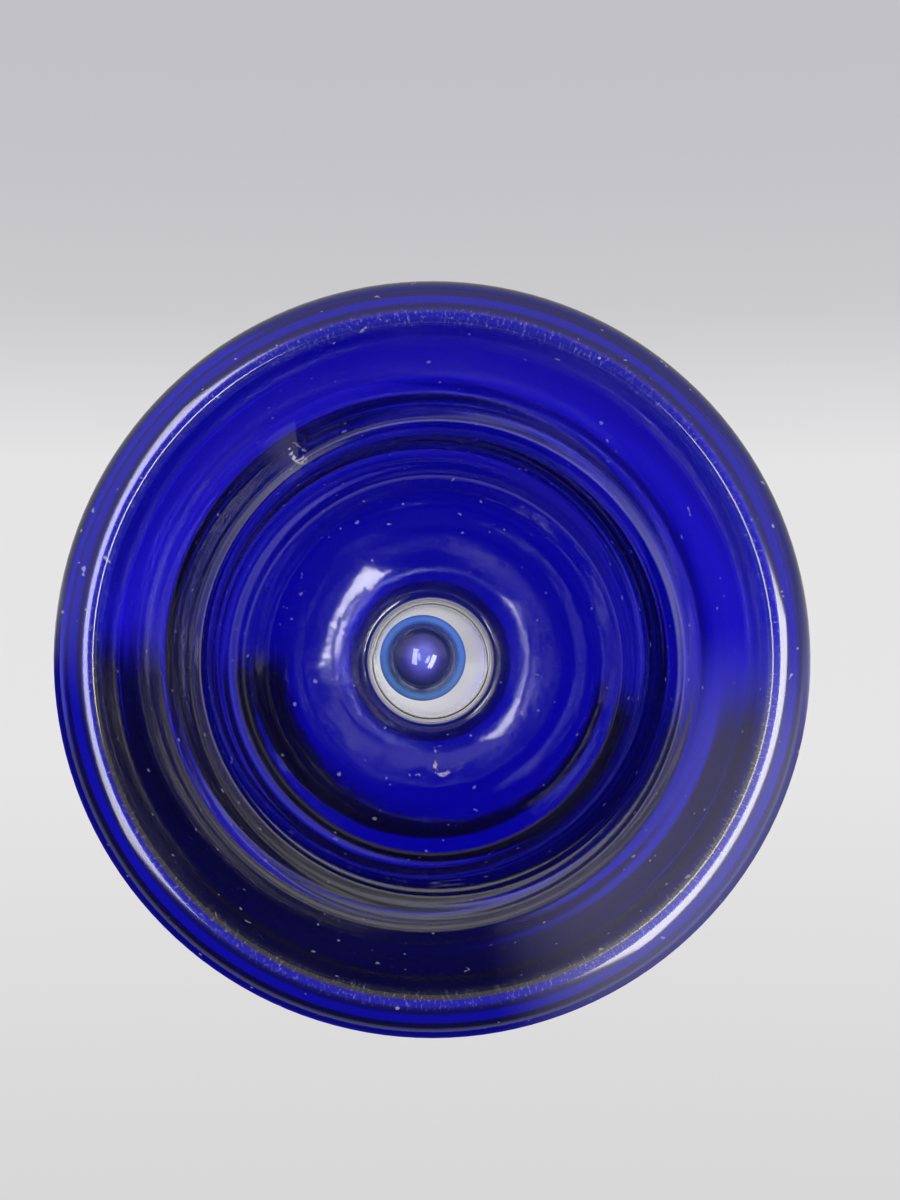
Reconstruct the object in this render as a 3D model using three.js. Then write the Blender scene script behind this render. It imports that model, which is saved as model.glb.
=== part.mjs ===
// A hand bell of blown cobalt glass, with a clear glass handle let into its crown and a
// cobalt glass clapper that hangs on a short chain. Millimetres, +Z up. The bell stands on
// its mouth, and the origin is the middle of the mouth, on the surface it stands on.

import * as THREE from 'three';

// Driving dimensions of the glass.
const MOUTH_R = 47.5;          // widest point of the rolled lip
const CONTACT_R = 43;          // middle of the narrow ring that the lip stands on
const CONTACT_FLAT = 1.2;      // width of that ring, ground true
const LIP_Z = 4.4;             // height of the lip's widest point
const WALL = 3;                // thickness of the skirt
const WAIST_R = 34.8;          // outside of the body at its narrowest
const CROWN_Z = 72;            // top of the shell, at the hole for the handle
const CROWN_WALL = 3.4;        // thickness of the crown
const HOLE_R = 10;             // hole in the crown
const TENON_R = 9.6;           // end of the handle that passes through it
const TENON_Z = 67.4;          // the tenon's lower face, inside the bell
const COLLAR_R = 13.5;         // collar of the handle, bedded on the crown
const COLLAR_Z = 73.2;         // underside of that collar
const HANDLE_TOP_Z = 152;      // overall height
const FINIAL_R = 8.5;
const KNOP_R = 8.6;            // round knop above the collar
const KNOP_Z = 93.5;
const GRIP_R = 8.3;            // fullest part of the long grip
const GRIP_Z = 122;
const STEM_R = 5.3;            // the stem between the knop and the grip
const SOCKET_R = 2.2;          // blind hole in the tenon, for the hanging eye
const SOCKET_TOP_Z = 76.5;
const GAP = 0.3;               // clearance between neighbouring pieces

// Driving dimensions of the clapper and its chain.
const WIRE_R = 0.5;
const EYE_R = 1.9;             // loops of the eye and of the clapper wire, to the wire's middle
const EYE_Z = 64.4;            // middle of the hanging eye's loop
const EYE_X = -1.3;            // the loop is bent this far off the shank, which is on the axis
const NECK = 1.6;              // straight wire between a loop and its shank's bend
const LINK_WIDTH = 4.2;        // of a link, between the middles of its sides
const LINK_LENGTH = 7;         // of a link, between the middles of its ends
const LINK_COUNT = 4;
const BALL_R = 5.8;
const BALL_Z = 21;

// Where two wires cross, their middles are this far apart.
const CROSSING = 2 * WIRE_R + GAP;
const PITCH = LINK_LENGTH - CROSSING;
const FIRST_HINGE_Z = EYE_Z - EYE_R;
const LAST_HINGE_Z = FIRST_HINGE_Z - LINK_COUNT * PITCH;
const CLAPPER_EYE_Z = LAST_HINGE_Z + CROSSING - EYE_R;

// Flat sides round each turned piece and each wire.
const AROUND_SHELL = 56;
const AROUND_HANDLE = 28;
const AROUND_SMALL = 20;
const AROUND_WIRE = 8;

const cobalt = new THREE.MeshStandardMaterial({ color: 0x0a07a6, roughness: 0.06, metalness: 0 });
const clear = new THREE.MeshStandardMaterial({ color: 0xe4e8e6, roughness: 0.05, metalness: 0 });
const resin = new THREE.MeshStandardMaterial({ color: 0xdedccf, roughness: 0.3, metalness: 0 });
const nickel = new THREE.MeshStandardMaterial({ color: 0xb9b7b0, roughness: 0.25, metalness: 1 });

const bell = new THREE.Group();

function add(name, geometry, material) {
  const mesh = new THREE.Mesh(geometry, material);
  mesh.name = name;
  bell.add(mesh);
  return mesh;
}

// Turns a profile of [radius, height] points about Z. Its outside runs upwards.
function turned(profile, segments) {
  const points = profile.map(([r, z]) => new THREE.Vector2(r, z));
  return new THREE.LatheGeometry(points, segments).rotateX(Math.PI / 2);
}

function smooth(points, count) {
  const curve = new THREE.SplineCurve(points.map(([r, z]) => new THREE.Vector2(r, z)));
  return curve.getSpacedPoints(count).map((p) => [p.x, p.y]);
}

function arc(r, z, radius, fromDeg, toDeg, count) {
  const points = [];
  for (let i = 0; i <= count; i += 1) {
    const a = THREE.MathUtils.degToRad(fromDeg + (toDeg - fromDeg) * i / count);
    points.push([r + radius * Math.cos(a), z + radius * Math.sin(a)]);
  }
  return points;
}

// The blown shell: ground contact ring, rolled lip, flared skirt, shoulder and crown.
function shellGeometry() {
  const lipRadius = MOUTH_R - CONTACT_R - CONTACT_FLAT / 2;
  const lip = arc(MOUTH_R - lipRadius, LIP_Z, lipRadius, -80, 75, 8);
  const outside = smooth([
    lip[lip.length - 1],
    [MOUTH_R - 5.3, 9.7],
    [MOUTH_R - 7.5, 12.8],
    [MOUTH_R - 10.2, 20],
    [WAIST_R + 0.9, 26.5],
    [WAIST_R + 0.2, 33.2],
    [WAIST_R, 40],
    [WAIST_R, 47.1],
    [WAIST_R - 0.6, CROWN_Z - 18.6],
    [WAIST_R - 2.5, CROWN_Z - 12.9],
    [WAIST_R - 6.1, CROWN_Z - 8.1],
    [COLLAR_R + 10, CROWN_Z - 4.4],
    [COLLAR_R + 3.5, CROWN_Z - 1.6],
    [COLLAR_R, CROWN_Z - 0.6],
    [HOLE_R, CROWN_Z],
  ], 18);
  const bore = WAIST_R - WALL;
  const inside = smooth([
    [HOLE_R, CROWN_Z - CROWN_WALL],
    [HOLE_R + 6, CROWN_Z - 4.7],
    [bore - 9.8, CROWN_Z - 7.1],
    [bore - 5.3, CROWN_Z - 10.4],
    [bore - 2.2, CROWN_Z - 14.4],
    [bore - 0.5, CROWN_Z - 19.2],
    [bore, 47],
    [bore, 40],
    [bore + 0.2, 33],
    [bore + 0.9, 26],
    [bore + 2.6, 19],
    [CONTACT_R - 5.8, 11.5],
    [CONTACT_R - 3, 5.6],
    [CONTACT_R - CONTACT_FLAT / 2 - 0.3, 0.9],
  ], 18);
  const contact = [
    [CONTACT_R - CONTACT_FLAT / 2, 0],
    [CONTACT_R + CONTACT_FLAT / 2, 0],
  ];
  const profile = [...contact, ...lip, ...outside.slice(1), ...inside, contact[0]];
  return turned(profile, AROUND_SHELL);
}

// The clear handle: socket and tenon, collar, baluster stem with two knops, round finial.
function handleGeometry() {
  const collarRound = 1.6;
  const chamfer = 0.8;
  const collar = arc(COLLAR_R - collarRound, COLLAR_Z + collarRound, collarRound, -90, 70, 5);
  const finial = arc(0, HANDLE_TOP_Z - FINIAL_R, FINIAL_R, -50, 90, 9);
  const stem = smooth([
    collar[collar.length - 1],
    [COLLAR_R - 4.1, COLLAR_Z + 4.8],
    [STEM_R + 0.9, KNOP_Z - 12],
    [STEM_R - 0.2, KNOP_Z - 7],
    [KNOP_R, KNOP_Z],
    [STEM_R, KNOP_Z + 6.5],
    [STEM_R + 0.1, KNOP_Z + 12.5],
    [GRIP_R - 0.9, GRIP_Z - 8],
    [GRIP_R, GRIP_Z],
    [GRIP_R - 1.3, GRIP_Z + 7.5],
    [STEM_R - 0.5, GRIP_Z + 12.5],
    finial[0],
  ], 26);
  const profile = [
    [0, SOCKET_TOP_Z],
    [SOCKET_R, SOCKET_TOP_Z],
    [SOCKET_R, TENON_Z],
    [TENON_R - chamfer, TENON_Z],
    [TENON_R, TENON_Z + chamfer],
    [TENON_R, COLLAR_Z],
    ...collar,
    ...stem.slice(1),
    ...finial.slice(1, -1),
    [0, HANDLE_TOP_Z],
  ];
  return turned(profile, AROUND_HANDLE);
}

// The cement that beds the collar on the sloping top of the crown.
function beddingGeometry() {
  const inner = HOLE_R + GAP;
  const outer = COLLAR_R - 2 * GAP;
  const top = COLLAR_Z - GAP;
  const profile = [
    [inner, CROWN_Z + GAP],
    [outer, CROWN_Z - 0.2],
    [outer, top],
    [inner, top],
    [inner, CROWN_Z + GAP],
  ];
  return turned(profile, AROUND_HANDLE);
}

// The resin sleeve that holds the eye's shank in the handle's socket.
function socketResinGeometry() {
  const inner = WIRE_R + GAP;
  const outer = SOCKET_R - GAP;
  const low = TENON_Z + 0.2;
  const high = SOCKET_TOP_Z - GAP;
  return turned([[inner, low], [outer, low], [outer, high], [inner, high], [inner, low]], AROUND_SMALL);
}

// A wire bent to a loop in the XZ plane about the origin, with a shank at shankX that runs up Z.
// The loop starts 45 degrees from the shank's side and is left open by a small gap at its end.
function eyePinGeometry(shankTop, shankX) {
  const bendZ = EYE_R + NECK;
  const loop = arc(0, 0, EYE_R, 45, -240, 10);
  const points = [
    [shankX, shankTop],
    [shankX, (shankTop + bendZ) / 2],
    [shankX, bendZ],
    [0.35 + shankX / 2, EYE_R + 0.6],
    ...loop,
  ];
  const route = new THREE.CatmullRomCurve3(points.map(([x, z]) => new THREE.Vector3(x, 0, z)));
  return wireGeometry(route, 30);
}

function wireGeometry(route, steps) {
  const section = new THREE.Shape();
  for (let i = 0; i < AROUND_WIRE; i += 1) {
    const a = 2 * Math.PI * i / AROUND_WIRE;
    const move = i === 0 ? 'moveTo' : 'lineTo';
    section[move](WIRE_R * Math.cos(a), WIRE_R * Math.sin(a));
  }
  return new THREE.ExtrudeGeometry(section, { steps, bevelEnabled: false, extrudePath: route });
}

// An oval link in the XZ plane: a ring whose two halves are drawn apart along Z.
function linkGeometry() {
  const ringRadius = LINK_WIDTH / 2;
  const drawn = (LINK_LENGTH - LINK_WIDTH) / 2;
  const around = 16;
  const ring = new THREE.TorusGeometry(ringRadius, WIRE_R, AROUND_WIRE, around);
  ring.rotateZ(Math.PI / around).rotateX(Math.PI / 2);
  const position = ring.attributes.position;
  for (let i = 0; i < position.count; i += 1) {
    position.setZ(i, position.getZ(i) + drawn * Math.sign(position.getZ(i)));
  }
  return ring;
}

// The clapper's glass ball, with the blind hole that its wire is set in.
function ballGeometry() {
  const hole = WIRE_R + GAP;
  const topDeg = THREE.MathUtils.radToDeg(Math.acos(hole / BALL_R));
  const outside = arc(0, 0, BALL_R, -90, topDeg, 13).slice(1);
  return turned([[0, -BALL_R], ...outside, [hole, 0], [0, 0]], AROUND_SMALL);
}

add('bell_shell', shellGeometry(), cobalt);
add('handle', handleGeometry(), clear);
add('handle_bedding', beddingGeometry(), resin);
add('socket_resin', socketResinGeometry(), resin);

const hangingEye = add('hanging_eye', eyePinGeometry(SOCKET_TOP_Z - EYE_Z - 1, -EYE_X), nickel);
hangingEye.position.set(EYE_X, 0, EYE_Z);

// Each link hangs on the one above it, turned a quarter turn from it.
for (let i = 1; i <= LINK_COUNT; i += 1) {
  const link = add(`chain_link_${i}`, linkGeometry(), nickel);
  link.position.set(EYE_X, 0, FIRST_HINGE_Z + CROSSING - LINK_LENGTH / 2 - (i - 1) * PITCH);
  link.rotation.z = i % 2 === 1 ? Math.PI / 2 : 0;
}

const clapperWire = add('clapper_wire', eyePinGeometry(CLAPPER_EYE_Z - BALL_Z - GAP, 0), nickel);
clapperWire.position.set(EYE_X, 0, CLAPPER_EYE_Z);
clapperWire.rotation.set(Math.PI, 0, Math.PI / 2);

const ball = add('clapper_ball', ballGeometry(), cobalt);
ball.position.set(EYE_X, 0, BALL_Z);

export default bell;
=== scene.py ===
import math

import bpy
from mathutils import Matrix, Vector


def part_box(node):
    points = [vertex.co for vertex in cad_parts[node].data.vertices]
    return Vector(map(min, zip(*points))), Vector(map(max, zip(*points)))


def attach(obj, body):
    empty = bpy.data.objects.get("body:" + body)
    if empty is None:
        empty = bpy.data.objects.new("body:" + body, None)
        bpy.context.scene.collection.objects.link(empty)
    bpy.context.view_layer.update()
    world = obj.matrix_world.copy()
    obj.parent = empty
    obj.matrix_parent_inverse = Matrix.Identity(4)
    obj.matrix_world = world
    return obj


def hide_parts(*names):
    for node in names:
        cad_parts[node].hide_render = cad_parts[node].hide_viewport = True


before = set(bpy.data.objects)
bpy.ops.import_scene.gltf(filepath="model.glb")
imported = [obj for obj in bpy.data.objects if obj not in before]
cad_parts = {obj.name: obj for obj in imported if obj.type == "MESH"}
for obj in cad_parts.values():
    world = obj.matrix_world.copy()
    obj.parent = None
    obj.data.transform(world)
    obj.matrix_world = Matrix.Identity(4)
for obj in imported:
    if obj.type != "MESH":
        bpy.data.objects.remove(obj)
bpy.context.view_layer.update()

# CAMERA. The bell is looked at from below, up its axis and into the mouth, from about
# two and a half mouth widths away, with the crown leaning a little down and to the left.
mouth_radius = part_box("bell_shell")[1].x
crown_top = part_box("bell_shell")[1].z
camera_distance = 0.235
lean_right, lean_down = -0.0155, 0.041
aim = Vector((0.0021, -0.0071, 0.0044))
looking = Vector((-lean_right, -lean_down, 1)).normalized()
picture_right = looking.cross(Vector((0, -1, 0))).normalized()
picture_up = picture_right.cross(looking)

camera_data = bpy.data.cameras.new("camera")
camera_data.sensor_width = 36
camera_data.lens = 56.1
camera_data.clip_start = 0.005
camera = bpy.data.objects.new("camera", camera_data)
camera.location = aim - looking * camera_distance
camera.rotation_euler = Matrix((picture_right, picture_up, -looking)).transposed().to_euler()
bpy.context.scene.collection.objects.link(camera)
bpy.context.scene.camera = camera
bpy.context.scene.view_settings.view_transform = "Standard"


# SURROUNDINGS. A plain pale room: grey and brighter bands overhead, which is what lies
# behind the bell as the camera sees it, and a dimmer room below.
class Link:
    """The output of a shader node, so that shader sums read as plain arithmetic."""

    def __init__(self, finish, socket):
        self.finish = finish
        self.socket = socket

    def __add__(self, other):
        return self.finish.maths("ADD", self, other)

    def __sub__(self, other):
        return self.finish.maths("SUBTRACT", self, other)

    def __rsub__(self, other):
        return self.finish.maths("SUBTRACT", other, self)

    def __mul__(self, other):
        return self.finish.maths("MULTIPLY", self, other)

    def __truediv__(self, other):
        return self.finish.maths("DIVIDE", self, other)

    def __pow__(self, other):
        return self.finish.maths("POWER", self, other)

    def __gt__(self, other):
        return self.finish.maths("GREATER_THAN", self, other)

    def __lt__(self, other):
        return self.finish.maths("LESS_THAN", self, other)

    __radd__ = __add__
    __rmul__ = __mul__


class Finish:
    """The node tree of a material or of the world."""

    def __init__(self, owner):
        owner.use_nodes = True
        self.owner = owner
        self.tree = owner.node_tree
        self.tree.nodes.clear()

    def node(self, kind, settings, sockets, output=0):
        made = self.tree.nodes.new(kind)
        for name, value in settings.items():
            if name == "stops":
                ramp = made.color_ramp
                while len(ramp.elements) < len(value):
                    ramp.elements.new(0.5)
                for element, (place, colour) in zip(ramp.elements, value):
                    element.position = place
                    element.color = (*colour, 1)
            else:
                setattr(made, name, value)
        for name, value in sockets.items():
            if isinstance(value, Link):
                self.tree.links.new(value.socket, made.inputs[name])
            else:
                made.inputs[name].default_value = value
        return Link(self, made.outputs[output]) if made.outputs else None

    def maths(self, operation, a, b):
        return self.node("ShaderNodeMath", {"operation": operation}, {0: a, 1: b})

    def clamp(self, value):
        return self.node("ShaderNodeClamp", {}, {"Value": value})

    def between(self, value, low, high):
        ranges = {"Value": value, "From Min": low, "From Max": high}
        return self.node("ShaderNodeMapRange", {"interpolation_type": "SMOOTHSTEP"}, ranges)

    def strip(self, value, rise, full, fall, end):
        return self.between(value, rise, full) * (1 - self.between(value, fall, end))

    def mix(self, share, a, b):
        settings = {"data_type": "RGBA"}
        return self.node("ShaderNodeMix", settings, {0: share, 6: a, 7: b}, output=2)

    def noise(self, place, scale, detail=2, rough=0.5):
        sockets = {"Vector": place, "Scale": scale, "Detail": detail, "Roughness": rough}
        return self.node("ShaderNodeTexNoise", {}, sockets)

    def place(self, kind="Object"):
        index = {"Generated": 0, "Object": 3}[kind]
        return self.node("ShaderNodeTexCoord", {}, {}, output=index)

    def parts(self, vector):
        xyz = self.node("ShaderNodeSeparateXYZ", {}, {0: vector})
        return [Link(self, output) for output in xyz.socket.node.outputs]


world = bpy.data.worlds.new("pale_room")
bpy.context.scene.world = world
room = Finish(world)
across, along, upward = room.parts(room.place("Generated"))
height_in_picture = room.between(along, -0.34, 0.34)
overhead = room.node("ShaderNodeValToRGB", {"stops": [
    (0.0, (0.54, 0.535, 0.565)),
    (0.12, (0.60, 0.595, 0.615)),
    (0.26, (0.79, 0.78, 0.79)),
    (0.6, (0.80, 0.79, 0.795)),
    (1.0, (0.68, 0.675, 0.68)),
]}, {0: height_in_picture})
window_side = (0.84, 0.78, 0.87, 1)
dark_side = (0.02, 0.02, 0.025, 1)
near_camera = 1 - room.between(upward, -0.985, -0.93)
below = room.mix(room.clamp(room.between(along, -0.12, 0.10) + near_camera), window_side, dark_side)
sky = room.mix(room.between(upward, -0.30, -0.05), below, overhead)
glow = room.node("ShaderNodeBackground", {}, {"Color": sky, "Strength": 1.0})
room.node("ShaderNodeOutputWorld", {}, {"Surface": glow})


# FLOOR. A plain pale table top under the lip. It is seen from above only, so that the
# bell can be looked at from below.
def picked(name):
    made = bpy.context.active_object
    made.name = name
    made.data.name = name
    return made


def given(piece, finish):
    piece.data.materials.clear()
    piece.data.materials.append(finish.owner)


floor_radius = 2.5
floor_gap = 0.0002

bpy.ops.object.select_all(action="DESELECT")
bpy.ops.mesh.primitive_circle_add(
    vertices=96, radius=floor_radius, fill_type="NGON", location=(0, 0, -floor_gap))
floor = picked("floor")
pale = Finish(bpy.data.materials.new("pale_floor"))
grain = pale.noise(pale.place(), 90, 4)
card = pale.node("ShaderNodeBsdfPrincipled", {}, {
    "Base Color": pale.mix(grain, (0.70, 0.70, 0.70, 1), (0.76, 0.755, 0.75, 1)),
    "Roughness": 0.75,
})
open_side = pale.node("ShaderNodeBsdfTransparent", {}, {})
side = pale.node("ShaderNodeNewGeometry", {}, {}, output=6)
pale.node("ShaderNodeOutputMaterial", {}, {
    "Surface": pale.node("ShaderNodeMixShader", {}, {0: side, 1: card, 2: open_side}),
})
given(floor, pale)
for seen in ("visible_glossy", "visible_transmission", "visible_shadow", "visible_diffuse"):
    setattr(floor, seen, False)


# LIGHTS. Two long soft boxes low down to the right and left of the camera, and a black
# flag high up behind the lower half of the glass, which darkens what shows through it.
def soft_box(name, place, towards, width, height, watts):
    data = bpy.data.lights.new(name, "AREA")
    data.shape = "RECTANGLE"
    data.size, data.size_y, data.energy = width, height, watts
    made = bpy.data.objects.new(name, data)
    made.location = place
    made.rotation_euler = (Vector(towards) - Vector(place)).to_track_quat("-Z", "Y").to_euler()
    bpy.context.scene.collection.objects.link(made)
    return made


shoulder_middle = (0, 0, 0.04)
soft_box("right_box", (0.28, 0.12, -0.55), shoulder_middle, width=0.42, height=0.13, watts=3.0)
soft_box("left_box", (-0.22, -0.03, -0.56), shoulder_middle, width=0.46, height=0.15, watts=2.4)

flag_height = 0.60
flag_middle = (0.004, -0.006)
flag_inside, flag_outside = 0.090, 3.0
flag_from, flag_to = -15, 205

bpy.ops.object.select_all(action="DESELECT")
bpy.ops.mesh.primitive_circle_add(
    vertices=144, radius=flag_outside, fill_type="NGON", location=(*flag_middle, flag_height))
bpy.ops.object.transform_apply(location=True)
flag = picked("black_flag")
bpy.ops.object.mode_set(mode="EDIT")
bpy.ops.mesh.select_all(action="SELECT")
bpy.ops.mesh.inset(thickness=flag_outside - flag_inside)
bpy.ops.mesh.delete(type="FACE")
bpy.ops.object.mode_set(mode="OBJECT")
for face in flag.data.polygons:
    turn = math.degrees(math.atan2(face.center.y - flag_middle[1], face.center.x - flag_middle[0]))
    turn_from_back = (turn + 90) % 360 - 90
    face.select = not flag_from < turn_from_back < flag_to
bpy.ops.object.mode_set(mode="EDIT")
bpy.ops.mesh.select_mode(type="FACE")
bpy.ops.mesh.delete(type="FACE")
bpy.ops.object.mode_set(mode="OBJECT")

# Black felt, torn thin towards its right end and a little ragged at its left one.
felt_dark = (0.004, 0.004, 0.004, 1)
felt_worn = (0.012, 0.012, 0.013, 1)
black = Finish(bpy.data.materials.new("black_felt"))
spot = black.place()
x, y, z = black.parts(spot)
turned_down = y / (x * x + y * y) ** 0.5
right_end = 1 - black.between(turned_down + black.noise(spot, 5, 2) * 0.16, 0.06, 0.32)
left_end = 1 - black.between(turned_down + black.noise(spot, 9, 3) * 0.36, 0.00, 0.20)
thin = right_end * (x > 0) + left_end * (x < 0)
felt = black.node("ShaderNodeBsdfPrincipled", {}, {
    "Base Color": black.mix(black.noise(spot, 60, 3), felt_dark, felt_worn),
    "Roughness": 0.9,
    "Specular IOR Level": 0.0,
})
gap = black.node("ShaderNodeBsdfTransparent", {}, {})
black.node("ShaderNodeOutputMaterial", {}, {
    "Surface": black.node("ShaderNodeMixShader", {}, {0: thin, 1: felt, 2: gap}),
})
given(flag, black)
flag.visible_camera = False
flag.visible_shadow = False
flag.visible_diffuse = False


# BELL SHELL. One gather of cobalt glass, blown and opened out at the mouth, with a rolled lip
# whose lowest ring is scuffed where it stands. Faint turning rings run round the inside of the
# shoulder, a little off centre, and the thicker crown is drilled for the handle.
def flowing(points, steps):
    """Smooth curve through the points, with that many steps from each to the next."""
    ends = [points[0], *points, points[-1]]
    placed = []
    for before, start, end, after in zip(ends, ends[1:], ends[2:], ends[3:]):
        for step in range(steps):
            t = step / steps
            placed.append(tuple(
                0.5 * (2 * b + (c - a) * t + (2 * a - 5 * b + 4 * c - d) * t * t
                       + (3 * b - a - 3 * c + d) * t ** 3)
                for a, b, c, d in zip(before, start, end, after)))
    return placed + [points[-1]]


def rounded(radius, height, bend, from_degrees, to_degrees, steps):
    """Points of a round stretch of an outline about the middle (radius, height)."""
    turns = [math.radians(from_degrees + (to_degrees - from_degrees) * step / steps)
             for step in range(steps + 1)]
    return [(radius + bend * math.cos(turn), height + bend * math.sin(turn)) for turn in turns]


def drawn_out(name, around, stations, closed):
    """Extrudes a ring of points from station to station: radius, height and sideways shift."""
    bpy.ops.object.select_all(action="DESELECT")
    radius, height, shift_x, shift_y = stations[0]
    fill = "NOTHING" if closed else "TRIFAN"
    bpy.ops.mesh.primitive_circle_add(
        vertices=around, radius=radius, fill_type=fill, location=(shift_x, shift_y, height))
    bpy.ops.object.transform_apply(location=True)
    piece = picked(name)
    bpy.ops.object.mode_set(mode="EDIT")
    bpy.ops.mesh.select_mode(type="EDGE")
    bpy.ops.mesh.select_all(action="SELECT")
    if not closed:
        bpy.ops.mesh.region_to_loop()
    for new_radius, new_height, new_x, new_y in stations[1:]:
        step = (new_x - shift_x, new_y - shift_y, new_height - height)
        bpy.ops.mesh.extrude_edges_move(TRANSFORM_OT_translate={"value": step})
        k = new_radius / radius
        bpy.ops.transform.resize(value=(k, k, 1), center_override=(new_x, new_y, new_height))
        radius, height, shift_x, shift_y = new_radius, new_height, new_x, new_y
    if closed:
        bpy.ops.mesh.select_all(action="DESELECT")
        bpy.ops.mesh.select_non_manifold()
        bpy.ops.mesh.bridge_edge_loops()
    else:
        bpy.ops.mesh.edge_face_add()
        bpy.ops.mesh.poke()
    bpy.ops.mesh.select_all(action="SELECT")
    bpy.ops.mesh.normals_make_consistent(inside=False)
    bpy.ops.object.mode_set(mode="OBJECT")
    return piece


def smoothed(piece, levels):
    surface = piece.modifiers.new("surface", "SUBSURF")
    surface.levels = levels
    surface.render_levels = levels
    bpy.ops.object.modifier_apply(modifier=surface.name)
    bpy.ops.object.shade_smooth()


contact_radius = 0.0424
contact_flat = 0.0011
hole_radius = 0.00985
bore = 0.0318
waist_radius = 0.0348
lip_bend = 0.0044
ring_depth = 0.00016
ring_pitch = 0.0041
ring_drift = 0.0006

inside_wall = flowing([
    (hole_radius + 0.0012, crown_top - 0.0037),
    (0.0160, crown_top - 0.0047),
    (bore - 0.0098, crown_top - 0.0071),
    (bore - 0.0053, crown_top - 0.0104),
    (bore - 0.0022, crown_top - 0.0144),
    (bore - 0.0005, crown_top - 0.0192),
    (bore, crown_top - 0.0250),
    (bore, crown_top - 0.0320),
    (bore + 0.0002, crown_top - 0.0390),
    (bore + 0.0009, crown_top - 0.0460),
    (bore + 0.0027, 0.0190),
    (0.0371, 0.0119),
    (0.0398, 0.0056),
    (contact_radius - contact_flat / 2 - 0.0005, 0.0006),
], 4)
outside_wall = flowing([
    (0.0447, 0.0084),
    (0.0422, 0.0097),
    (mouth_radius - 0.0075, 0.0128),
    (mouth_radius - 0.0101, 0.0195),
    (waist_radius + 0.0009, 0.0265),
    (waist_radius + 0.0002, 0.0332),
    (waist_radius, 0.0400),
    (waist_radius, crown_top - 0.0249),
    (waist_radius - 0.0006, crown_top - 0.0186),
    (waist_radius - 0.0025, crown_top - 0.0129),
    (waist_radius - 0.0061, crown_top - 0.0081),
    (0.0235, crown_top - 0.0044),
    (0.0170, crown_top - 0.0017),
    (0.0133, crown_top - 0.0007),
    (hole_radius + 0.0003, crown_top - 0.0001),
], 3)

stations = [
    (hole_radius, crown_top - 0.0031, 0, 0),
    (hole_radius + 0.0003, crown_top - 0.0035, 0, 0),
]
for radius, height in inside_wall:
    share = max(0, min(1, (height - 0.008) / 0.008, (crown_top - 0.006 - height) / 0.008))
    turn = 2 * math.pi * height / ring_pitch
    drift = 2 * math.pi * height / 0.031
    stations.append((
        radius + share * ring_depth * math.sin(turn), height,
        share * ring_drift * math.cos(drift), -share * ring_drift * math.sin(drift)))
stations += [
    (contact_radius - contact_flat / 2, 0.00003, 0, 0),
    (contact_radius + contact_flat / 2, 0.00003, 0, 0),
]
stations += [(r, z, 0, 0) for r, z in
             rounded(mouth_radius - lip_bend + 0.00002, lip_bend, lip_bend, -62, 62, 9)]
stations += [(r, z, 0, 0) for r, z in outside_wall]
stations += [
    (hole_radius, crown_top - 0.0004, 0, 0),
    (hole_radius, crown_top - 0.0018, 0, 0),
]
bell_glass = drawn_out("bell_glass", 72, stations, closed=True)
smoothed(bell_glass, 1)

# Cobalt blue, with darker and lighter bands painted over the turning rings as painted
# reflections, a dark line of painted shade round the rolled lip, a thin film of dust inside,
# a grey painted reflection low on the right of the skirt, short scratches across the ring it
# stands on, a chipped bruise in the crown, and a broken ring of painted highlight with a pale
# painted glow at a pit beside the blister in the shoulder.
skirt_blue = (0.040, 0.019, 0.84, 1)
# Dark blue of the painted reflection bands, where no reflection falls.
painted_dark_band_blue = (0.002, 0.0, 0.56, 1)
crown_blue = (0.004, 0.0, 0.46, 1)
lip_blue = (0.006, 0.002, 0.62, 1)
# Near-black blue for the painted shade round the rolled lip.
painted_shade_blue = (0.002, 0.001, 0.06, 1)
hole_blue = (0.05, 0.16, 0.85, 1)
depth_blue = (0.0, 0.0, 0.82, 1)
# Grey of the dust, scratches, ground bore and bruise, also used for the painted reflection and painted
# highlight.
dust_and_sheen_grey = (0.78, 0.76, 0.80, 1)

cobalt = Finish(bpy.data.materials.new("cobalt_glass"))
spot = cobalt.place()
x, y, z = cobalt.parts(spot)
from_axis = (x * x + y * y) ** 0.5
east = x / from_axis
south = y / from_axis
wavy = cobalt.noise(spot, 28, 2)
# Bands painted darker and lighter over the turning rings, strongest towards the upper right: painted
# reflections, not a change in the glass.
band_place = from_axis * 1000 + x * 42 + y * 30 + wavy * 3.5
bands = cobalt.between(cobalt.maths("SINE", band_place * 2.3, 0), 0.15, 0.5)
where_banded = cobalt.strip(z, 0.013, 0.018, 0.052, 0.058)
upper_right = cobalt.between(east * 0.64 - south * 0.77, 0.1, 0.7)
painted_reflection_bands = bands * where_banded * (0.35 + upper_right * 0.65)
skirt = cobalt.mix(painted_reflection_bands, skirt_blue, painted_dark_band_blue)
crown = cobalt.between(z, 0.050, 0.060)
wall = cobalt.mix(crown, skirt, crown_blue)
rolled = 1 - cobalt.between(z, 0.0010, 0.0060)
# A dark line painted round the rolled lip just outside the contact ring: painted shade standing in for the
# dark band that internal reflection makes there.
painted_dark_line = (cobalt.strip(from_axis, 0.0428, 0.0432, 0.0437, 0.0442)
          * (1 - cobalt.between(z, 0.0020, 0.0040)))
lip = cobalt.mix(painted_dark_line, lip_blue, painted_shade_blue)
body = cobalt.mix(rolled, wall, lip)
near_hole = 1 - cobalt.between(from_axis, 0.0100, 0.0118)
tint = cobalt.mix(near_hole, body, hole_blue)

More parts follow.
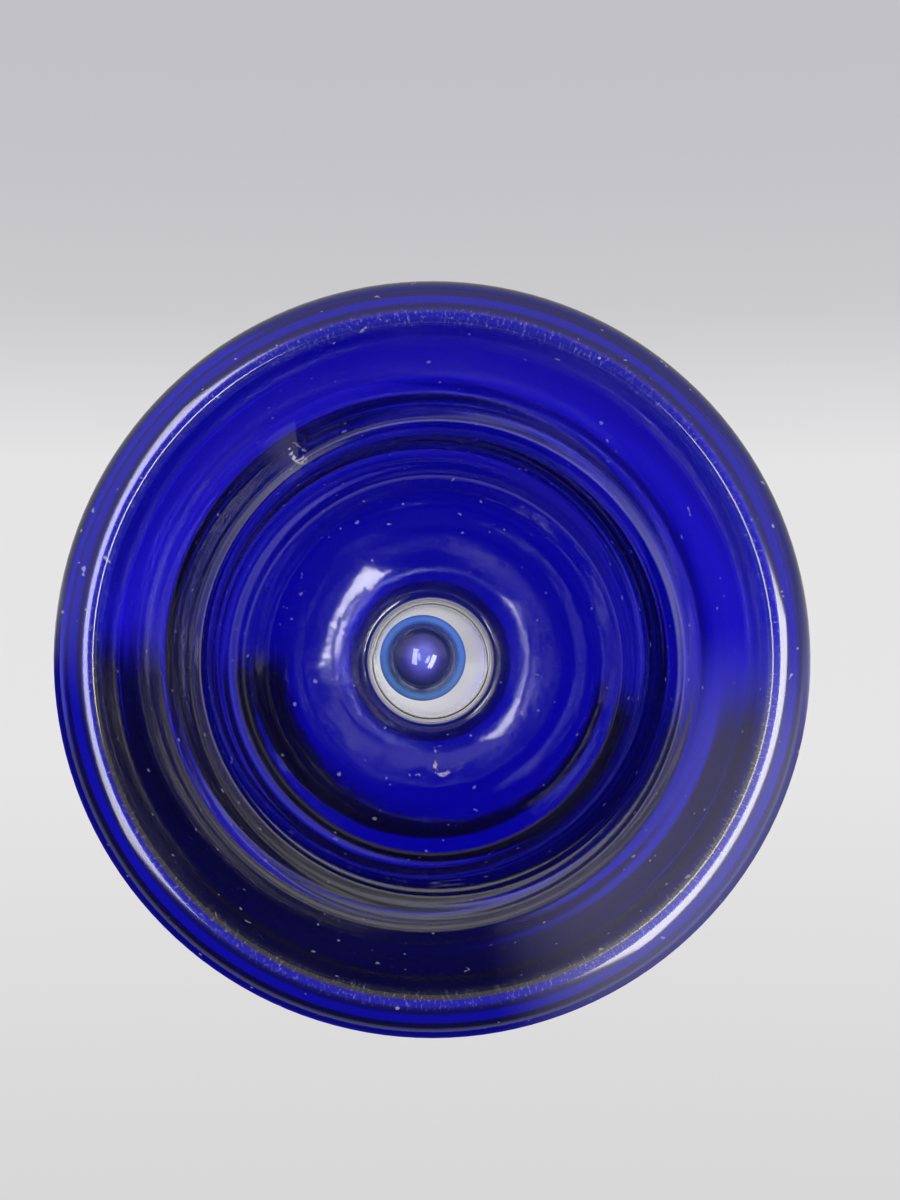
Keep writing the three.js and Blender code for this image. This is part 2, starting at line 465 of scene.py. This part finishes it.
ground_bore = 1 - cobalt.between(from_axis, 0.0099, 0.0102)
smear = cobalt.noise(spot, 60, 3)
worn = (cobalt.strip(from_axis, 0.0400, 0.0418, 0.0430, 0.0440)
        * (1 - cobalt.between(z, 0.0010, 0.0030)))
bump = cobalt.node("ShaderNodeBump", {}, {
    "Strength": 0.03,
    "Distance": 0.001,
    "Height": cobalt.noise(spot, 70, 1) + cobalt.noise(spot, 130, 3) * crown * 2.2,
})
glass = cobalt.node("ShaderNodeBsdfPrincipled", {}, {
    "Base Color": tint,
    "Roughness": 0.05 + smear * 0.06 + worn * 0.03,
    "IOR": 1.52,
    "Transmission Weight": 1.0,
    "Normal": bump,
})

around = cobalt.node("ShaderNodeCombineXYZ", {}, {0: east * 80, 1: south * 80, 2: from_axis * 900})
strokes = cobalt.between(cobalt.noise(around, 1.6, 5, 0.8), 0.53, 0.68)
on_contact = (cobalt.strip(from_axis, 0.0405, 0.0418, 0.0426, 0.0436)
              * (1 - cobalt.between(z, 0.0010, 0.0022)))
specks = cobalt.between(cobalt.noise(spot, 800, 1), 0.735, 0.78)
film = cobalt.noise(spot, 35, 3) * 0.006
# A grey haze painted low on the right of the skirt near the waist: a painted reflection of the grey room
# on dark glass, not dust.
painted_grey_reflection = (cobalt.between(east * 0.80 + south * 0.60, 0.72, 0.97)
               * cobalt.between(from_axis, 0.0325, 0.037))
bruise_x, bruise_y, bruise_radius = 0.0019, 0.0168, 0.0013
from_bruise = ((x - bruise_x) ** 2 + (y - bruise_y) ** 2) ** 0.5 / bruise_radius
# Broken-up noise, for the bruise's chipped edge and for breaking up the pit's painted highlight.
broken_up = cobalt.between(cobalt.noise(spot, 1400, 3), 0.40, 0.58)
lower_side = cobalt.between(y - bruise_y - (x - bruise_x) * 0.8, -0.0004, 0.0002)
bruise = cobalt.strip(from_bruise, 0.62, 0.85, 1.0, 1.3) * lower_side * broken_up * (z > 0.05)
# At the pit beside the blister, a broken ring of bright grey is painted as a painted highlight, with a
# pale painted glow to its left.
pit_x, pit_y, pit_radius = -0.0182, -0.0278, 0.0012
from_pit = ((x - pit_x) ** 2 + (y - pit_y) ** 2) ** 0.5 / pit_radius
low_down = (z > 0.015) * (z < 0.035)
open_side_of_pit = cobalt.between(broken_up + (y - pit_y) * 420 - (x - pit_x) * 160, 0.45, 1.1)
pit_painted_highlight = cobalt.strip(from_pit, 0.45, 0.62, 0.85, 1.1) * open_side_of_pit * low_down
pit_painted_glow = (1 - cobalt.between(from_pit, 1.0, 4.5)) * (x < pit_x) * low_down
# One grey coat carries the real dust, scratches, ground bore and bruise together with the painted
# reflection, painted highlight and painted glow.
dust_and_sheen = cobalt.clamp(
    film + painted_grey_reflection * 0.09 + ground_bore * 0.6
    + strokes * on_contact * 0.15 + on_contact * 0.01
    + pit_painted_highlight * 0.9 + pit_painted_glow * 0.06
    + specks * 0.22 + bruise * 0.6)
dust_and_sheen_coat = cobalt.node("ShaderNodeBsdfPrincipled", {}, {
    "Base Color": dust_and_sheen_grey,
    "Roughness": 0.6,
})
glass_under_dust_and_sheen = cobalt.node("ShaderNodeMixShader", {}, {0: dust_and_sheen, 1: glass, 2: dust_and_sheen_coat})
depth = cobalt.node("ShaderNodeVolumeAbsorption", {}, {"Color": depth_blue, "Density": 280.0})
cobalt.node("ShaderNodeOutputMaterial", {}, {"Surface": glass_under_dust_and_sheen, "Volume": depth})

given(bell_glass, cobalt)
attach(bell_glass, "bell")
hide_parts("bell_shell")


# BLISTER AND SEEDS. A bubble that broke through the inside of the shoulder and healed over,
# and a few small seeds caught at the foot of the crown, standing a little proud of the wall.
def bubble(name, place, width, drawn_length, proud):
    """A ball drawn out along the wall's rise, sunk partly into it and pinched at its top."""
    bpy.ops.object.select_all(action="DESELECT")
    bpy.ops.mesh.primitive_uv_sphere_add(segments=24, ring_count=14, radius=width / 2, location=place)
    bpy.ops.object.transform_apply(location=True)
    made = picked(name)
    inward = -Vector((place[0], place[1], 0)).normalized()
    bpy.ops.object.mode_set(mode="EDIT")
    bpy.ops.mesh.select_all(action="SELECT")
    bpy.ops.transform.resize(value=(1, 1, drawn_length / width), center_override=place)
    bpy.ops.object.mode_set(mode="OBJECT")
    for point in made.data.vertices:
        point.select = point.co.z > place[2] + drawn_length * 0.18
    for edge in made.data.edges:
        edge.select = all(made.data.vertices[v].select for v in edge.vertices)
    bpy.ops.object.mode_set(mode="EDIT")
    bpy.ops.mesh.select_mode(type="VERT")
    bpy.ops.transform.resize(value=(0.55, 0.55, 1.2), center_override=place)
    bpy.ops.mesh.select_all(action="SELECT")
    bpy.ops.transform.translate(value=inward * (proud - width / 2))
    bpy.ops.object.mode_set(mode="OBJECT")
    smoothed(made, 1)
    given(made, cobalt)
    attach(made, "bell")


for name, degrees, radius, height, width, drawn_length, proud in (
    ("blister_large", 237.0, 0.0330, 0.0250, 0.0020, 0.0030, 0.0007),
    ("blister_small", 240.8, 0.0331, 0.0246, 0.0012, 0.0016, 0.0005),
    ("seed_1", 11.0, 0.0317, 0.0455, 0.0008, 0.0011, 0.0003),
    ("seed_2", 13.5, 0.0317, 0.0462, 0.0007, 0.0008, 0.0003),
    ("seed_3", 12.2, 0.0317, 0.0436, 0.0006, 0.0009, 0.0003),
):
    turn = math.radians(degrees)
    bubble(name, (radius * math.cos(turn), radius * math.sin(turn), height), width, drawn_length, proud)


# HANDLE. One solid rod of clear glass, let through the crown and worked with a collar, a
# round knop, a long swelling grip and a ball at the top. The tenon's end is ground flat, with
# a blind hole for the hanging eye.
collar_radius = 0.0134
collar_bend = 0.0016
collar_under = crown_top + 0.0012
collar_top = 0.0775
handle_low, handle_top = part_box("handle")[0].z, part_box("handle")[1].z
tenon_radius = 0.0096
socket_radius = 0.0022
socket_top = 0.0765
knop_radius, knop_height = 0.0086, 0.0936
grip_radius, grip_height = 0.0083, 0.1222
stem_radius = 0.0053
finial_radius = 0.0085
finial_height = handle_top - finial_radius

rod = [
    (socket_radius - 0.0001, socket_top),
    (socket_radius, socket_top - 0.0005),
    (socket_radius, handle_low + 0.0004),
    (socket_radius + 0.0004, handle_low),
    (0.0055, handle_low),
    (tenon_radius - 0.0011, handle_low + 0.0001),
    (tenon_radius - 0.0003, handle_low + 0.0004),
    (tenon_radius, handle_low + 0.0011),
    (tenon_radius, crown_top - 0.0015),
    (tenon_radius, collar_under - 0.0003),
    (tenon_radius + 0.0003, collar_under),
    (0.0112, collar_under),
]
rod += rounded(collar_radius - collar_bend, collar_under + collar_bend, collar_bend, -80, 60, 4)
rod += flowing([
    (collar_radius - 0.0026, collar_top),
    (0.0086, collar_top + 0.0015),
    (stem_radius + 0.0009, knop_height - 0.0120),
    (stem_radius, knop_height - 0.0075),
    (knop_radius - 0.0012, knop_height - 0.0030),
    (knop_radius, knop_height),
    (knop_radius - 0.0012, knop_height + 0.0030),
    (stem_radius, knop_height + 0.0065),
    (stem_radius - 0.0001, knop_height + 0.0105),
    (grip_radius - 0.0010, grip_height - 0.0082),
    (grip_radius, grip_height),
    (grip_radius - 0.0013, grip_height + 0.0075),
    (stem_radius - 0.0004, grip_height + 0.0125),
], 3)
rod += rounded(0, finial_height, finial_radius, -46, 83, 9)
handle_rod = drawn_out("handle_rod", 56, [(r, z, 0, 0) for r, z in rod], closed=False)
smoothed(handle_rod, 1)

# Clear glass, a shade grey, with faint cords from drawing it out. The end is ground matt.
clear = Finish(bpy.data.materials.new("clear_glass"))
spot = clear.place()
ground = 1 - clear.between(clear.parts(spot)[2], handle_low + 0.0001, handle_low + 0.0004)
stretched = clear.node("ShaderNodeMapping", {}, {"Vector": spot, "Scale": (160, 160, 25)})
clear_glass = clear.node("ShaderNodeBsdfPrincipled", {}, {
    "Base Color": clear.mix(clear.noise(spot, 40, 2), (0.975, 0.98, 0.97, 1), (0.99, 0.99, 0.99, 1)),
    "Roughness": 0.02 + clear.noise(spot, 70, 3) * 0.03 + ground * 0.38,
    "IOR": 1.5,
    "Transmission Weight": 1.0,
    "Normal": clear.node("ShaderNodeBump", {}, {
        "Strength": 0.06, "Distance": 0.001, "Height": clear.noise(stretched, 1, 2)}),
})
frost = clear.node("ShaderNodeBsdfPrincipled", {}, {
    "Base Color": (0.93, 0.93, 0.90, 1),
    "Roughness": 0.7,
})
rod_surface = clear.node("ShaderNodeMixShader", {}, {0: ground * 0.35, 1: clear_glass, 2: frost})
clear.node("ShaderNodeOutputMaterial", {}, {"Surface": rod_surface})
given(handle_rod, clear)
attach(handle_rod, "bell")
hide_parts("handle")


# BEDDING AND SOCKET RESIN. A milky casting resin, poured thin: one ring beds the collar on
# the crown and has crept out to a small bead, and one sleeve holds the eye's shank.
bedding_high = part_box("handle_bedding")[1]
sleeve_low, sleeve_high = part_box("socket_resin")
bedding_bore = 0.0103
bedding_edge = bedding_high.x
sleeve_bore = 0.0008
sleeve_edge = sleeve_high.x
bedding_middle = 0.0116
sleeve_middle = 0.0720
bead = 0.00022

bedding_outline = [
    (bedding_bore, crown_top + 0.0005),
    (bedding_bore + 0.0004, crown_top + 0.00034),
    (bedding_middle, crown_top + 0.0002),
    (bedding_edge - 0.0001, crown_top - 0.0001),
    (bedding_edge + bead / 2, crown_top + 0.0001),
    (bedding_edge + bead, crown_top + 0.0004),
    (bedding_edge + bead / 2, bedding_high.z - 0.0001),
    (bedding_edge - 0.0002, bedding_high.z),
    (bedding_middle, bedding_high.z),
    (bedding_bore + 0.0003, bedding_high.z),
    (bedding_bore, bedding_high.z - 0.0002),
]
bedding_ring = drawn_out("bedding_ring", 48, [(r, z, 0, 0) for r, z in bedding_outline], closed=True)
smoothed(bedding_ring, 1)

sleeve_outline = [
    (sleeve_bore, sleeve_high.z - 0.0002),
    (sleeve_bore, sleeve_middle),
    (sleeve_bore, sleeve_low.z + 0.0006),
    (sleeve_bore + 0.0002, sleeve_low.z + 0.0002),
    (sleeve_bore + 0.0005, sleeve_low.z),
    (sleeve_edge - 0.0003, sleeve_low.z),
    (sleeve_edge, sleeve_low.z + 0.0003),
    (sleeve_edge, sleeve_middle),
    (sleeve_edge, sleeve_high.z - 0.0003),
    (sleeve_edge - 0.0003, sleeve_high.z),
    (sleeve_bore + 0.0002, sleeve_high.z),
]
resin_sleeve = drawn_out("resin_sleeve", 28, [(r, z, 0, 0) for r, z in sleeve_outline], closed=True)
smoothed(resin_sleeve, 1)

resin = Finish(bpy.data.materials.new("casting_resin"))
spot = resin.place()
bubbles = resin.between(resin.noise(spot, 1500, 1), 0.68, 0.74)
resin_shader = resin.node("ShaderNodeBsdfPrincipled", {}, {
    "Base Color": resin.mix(resin.noise(spot, 300, 3), (0.84, 0.85, 0.84, 1), (0.95, 0.95, 0.93, 1)),
    "Roughness": 0.18 + bubbles * 0.3,
    "IOR": 1.5,
    "Transmission Weight": 0.1,
    "Normal": resin.node("ShaderNodeBump", {}, {
        "Strength": 0.25, "Distance": 0.0001, "Height": resin.noise(spot, 900, 3) + bubbles}),
})
resin.node("ShaderNodeOutputMaterial", {}, {"Surface": resin_shader})
for piece, node in ((bedding_ring, "handle_bedding"), (resin_sleeve, "socket_resin")):
    given(piece, resin)
    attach(piece, "bell")
    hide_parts(node)


# HANGING EYE AND CLAPPER WIRE. Two lengths of nickel-plated steel wire, cut with pliers and
# bent to an eye. One is set in the handle and carries the chain, the other is set in the ball.
wire_radius = 0.0005
eye_radius = 0.0019
chain_x = -0.0013
eye_height = 0.0644


def bent_wire(name, route, axis):
    """Draws a round wire along a flat route, square to the axis, and nips both its ends."""
    headings = [Vector(b) - Vector(a) for a, b in zip(route, route[1:])]
    turned = Vector((0, 0, 1)).rotation_difference(headings[0]).to_euler()
    bpy.ops.object.select_all(action="DESELECT")
    bpy.ops.mesh.primitive_circle_add(
        vertices=16, radius=wire_radius * 0.8, fill_type="NGON", location=route[0], rotation=turned)
    bpy.ops.object.transform_apply(location=True, rotation=True)
    piece = picked(name)
    bpy.ops.object.mode_set(mode="EDIT")
    bpy.ops.mesh.select_mode(type="FACE")
    bpy.ops.mesh.select_all(action="SELECT")
    cut = headings[0].normalized() * wire_radius * 0.25
    place = Vector(route[0]) + cut
    bpy.ops.mesh.extrude_region_move(TRANSFORM_OT_translate={"value": cut})
    bpy.ops.transform.resize(value=(1.25, 1.25, 1.25), center_override=place)
    for number, end in enumerate(route[1:], start=1):
        bpy.ops.mesh.extrude_region_move(TRANSFORM_OT_translate={"value": Vector(end) - place})
        place = Vector(end)
        if number < len(headings):
            turn = headings[number - 1].angle(headings[number])
            side = headings[number - 1].cross(headings[number]).dot(Vector(axis))
            bpy.ops.transform.rotate(
                value=-math.copysign(turn, side), orient_axis="XYZ"[axis.index(1)],
                center_override=place)
    last = headings[-1].normalized() * 0.0001
    bpy.ops.mesh.extrude_region_move(TRANSFORM_OT_translate={"value": last})
    bpy.ops.transform.resize(value=(0.7, 0.7, 0.7), center_override=place + last)
    bpy.ops.mesh.select_all(action="SELECT")
    bpy.ops.mesh.normals_make_consistent(inside=False)
    bpy.ops.object.mode_set(mode="OBJECT")
    return piece


eye_loop = rounded(0, 0, eye_radius, 45, -240, 22)
eye_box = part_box("hanging_eye")
hook = flowing([
    (-chain_x, eye_box[1].z - eye_height - 0.0002),
    (-chain_x, 0.0065),
    (-chain_x, 0.0041),
    (0.00100, 0.0026),
    eye_loop[0],
], 3)[:-1] + eye_loop
hanging_wire = bent_wire(
    "hanging_wire", [(chain_x + across, 0, eye_height + up) for across, up in hook], (0, 1, 0))
smoothed(hanging_wire, 1)

nickel = Finish(bpy.data.materials.new("nickel_wire"))
spot = nickel.place()
drawn = nickel.node("ShaderNodeMapping", {}, {"Vector": spot, "Scale": (2500, 2500, 300)})
dulled = nickel.between(nickel.noise(spot, 260, 4, 0.65), 0.45, 0.7)
nickel_shader = nickel.node("ShaderNodeBsdfPrincipled", {}, {
    "Base Color": nickel.mix(dulled, (0.66, 0.64, 0.60, 1), (0.44, 0.42, 0.39, 1)),
    "Roughness": 0.2 + dulled * 0.25,
    "Metallic": 1.0,
    "Normal": nickel.node("ShaderNodeBump", {}, {
        "Strength": 0.15, "Distance": 0.00005, "Height": nickel.noise(drawn, 1, 2)}),
})
nickel.node("ShaderNodeOutputMaterial", {}, {"Surface": nickel_shader})
given(hanging_wire, nickel)
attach(hanging_wire, "bell")
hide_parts("hanging_eye")

wire_low, wire_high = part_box("clapper_wire")
lower_eye = wire_high.z - wire_radius - eye_radius
hook = flowing([
    (0, lower_eye - wire_low.z - 0.0002),
    (0, 0.0100),
    (0, 0.0065),
    (0, 0.0038),
    (0.00035, 0.0025),
    eye_loop[0],
], 3)[:-1] + eye_loop
clapper_stem = bent_wire(
    "clapper_stem", [(chain_x, across, lower_eye - up) for across, up in hook], (1, 0, 0))
smoothed(clapper_stem, 1)
given(clapper_stem, nickel)
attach(clapper_stem, "clapper")
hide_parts("clapper_wire")


# CHAIN LINKS. Four oval links of the same wire, bent round a former and closed end to end,
# each hung a quarter turn from the one above.
link_radius = 0.0021
link_bodies = ("link_1", "link_2", "link_3", "link_4")


def oval_link(name, middle, straight, crosswise):
    """Draws a round section up one side, spins it half a turn, and does the same again."""
    bpy.ops.object.select_all(action="DESELECT")
    bpy.ops.mesh.primitive_circle_add(
        vertices=16, radius=wire_radius, location=middle + Vector((link_radius, 0, -straight)))
    bpy.ops.object.transform_apply(location=True)
    piece = picked(name)
    bpy.ops.object.mode_set(mode="EDIT")
    bpy.ops.mesh.select_mode(type="EDGE")
    bpy.ops.mesh.select_all(action="SELECT")
    for side in (1, -1):
        for _ in range(3):
            bpy.ops.mesh.extrude_edges_move(
                TRANSFORM_OT_translate={"value": (0, 0, side * straight * 2 / 3)})
        bpy.ops.mesh.spin(
            steps=14, angle=math.pi, center=middle + Vector((0, 0, side * straight)), axis=(0, -1, 0))
    bpy.ops.mesh.select_all(action="SELECT")
    bpy.ops.mesh.remove_doubles(threshold=0.00001)
    bpy.ops.mesh.normals_make_consistent(inside=False)
    if crosswise:
        bpy.ops.transform.rotate(value=math.pi / 2, orient_axis="Z", center_override=middle)
    bpy.ops.object.mode_set(mode="OBJECT")
    return piece


for number, body in enumerate(link_bodies, start=1):
    low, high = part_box(f"chain_link_{number}")
    straight = (high.z - low.z) / 2 - wire_radius - link_radius
    link = oval_link(f"wire_link_{number}", (low + high) / 2, straight, number % 2 == 1)
    smoothed(link, 1)
    given(link, nickel)
    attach(link, body)
    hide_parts(f"chain_link_{number}")


# CLAPPER BALL. A small ball of pale blue glass gathered over a darker cobalt core, melted
# round the end of its wire, with the wire's blind hole down from the top. A rim of painted
# light is laid round the ball, and painted light and shade run across the core.
ball_low, ball_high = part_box("clapper_ball")
ball_radius = (ball_high.x - ball_low.x) / 2
ball_height = ball_low.z + ball_radius
blind_hole = 0.0008
core_radius = 0.0031

outline = [
    (blind_hole * 0.6, ball_height + 0.0002),
    (blind_hole, ball_height + 0.0005),
    (blind_hole, ball_height + 0.0030),
]
outline += rounded(0, ball_height, ball_radius, 81, -84, 26)
glass_ball = drawn_out("glass_ball", 56, [(r, z, chain_x, 0) for r, z in outline], closed=False)
smoothed(glass_ball, 1)

pale_ball = Finish(bpy.data.materials.new("pale_blue_glass"))
spot = pale_ball.place()
x, y, z = pale_ball.parts(spot)
x = x - chain_x
outward = (x * x + y * y) ** 0.5 / ball_radius
sheer = pale_ball.node("ShaderNodeBsdfPrincipled", {}, {
    "Base Color": pale_ball.mix(pale_ball.noise(spot, 260, 2), (0.72, 0.80, 1.0, 1), (0.84, 0.88, 1.0, 1)),
    "Roughness": 0.015 + pale_ball.noise(spot, 200, 2) * 0.03,
    "IOR": 1.5,
    "Transmission Weight": 1.0,
})
# A pale blue coat painted in a belt round the ball's middle, seen as its rim from below: painted light
# standing in for light through the ball's thin edge.
rim_light_deep = (0.06, 0.26, 0.86, 1)
rim_light_pale = (0.22, 0.46, 0.95, 1)
rim_light_coat = pale_ball.node("ShaderNodeBsdfPrincipled", {}, {
    "Base Color": pale_ball.mix(pale_ball.noise(spot, 180, 2), rim_light_deep, rim_light_pale),
    "Roughness": 0.08,
})
painted_rim_light = 0.03 + pale_ball.between(outward, 0.74, 0.93) * 0.8
pale_ball.node("ShaderNodeOutputMaterial", {}, {
    "Surface": pale_ball.node("ShaderNodeMixShader", {}, {0: painted_rim_light, 1: sheer, 2: rim_light_coat}),
})
given(glass_ball, pale_ball)
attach(glass_ball, "clapper")
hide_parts("clapper_ball")

core_drop = 0.0012
core = rounded(0, ball_height - core_drop, core_radius, 84, -84, 18)
ball_core = drawn_out("ball_core", 40, [(r, z, chain_x, 0) for r, z in core], closed=False)
smoothed(ball_core, 1)

core_glass = Finish(bpy.data.materials.new("cobalt_core"))
spot = core_glass.place()
x, y, z = core_glass.parts(spot)
x = x - chain_x
off_wire = (x * x + y * y) ** 0.5 + core_glass.noise(spot, 700, 2) * 0.0006
# The core's colour runs from bright lavender blue at its middle to near black at its edge: painted light
# where light shines through it and painted shade where its edge turns away.
core_shader = core_glass.node("ShaderNodeBsdfPrincipled", {}, {
    "Base Color": core_glass.node("ShaderNodeValToRGB", {"stops": [
        (0.0, (0.24, 0.27, 0.95)),
        (0.45, (0.20, 0.19, 0.80)),
        (0.72, (0.10, 0.06, 0.36)),
        (1.0, (0.02, 0.01, 0.08)),
    ]}, {0: off_wire / (core_radius + 0.0003)}),
    "Roughness": 0.12,
})
core_glass.node("ShaderNodeOutputMaterial", {}, {"Surface": core_shader})
given(ball_core, core_glass)
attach(ball_core, "clapper")
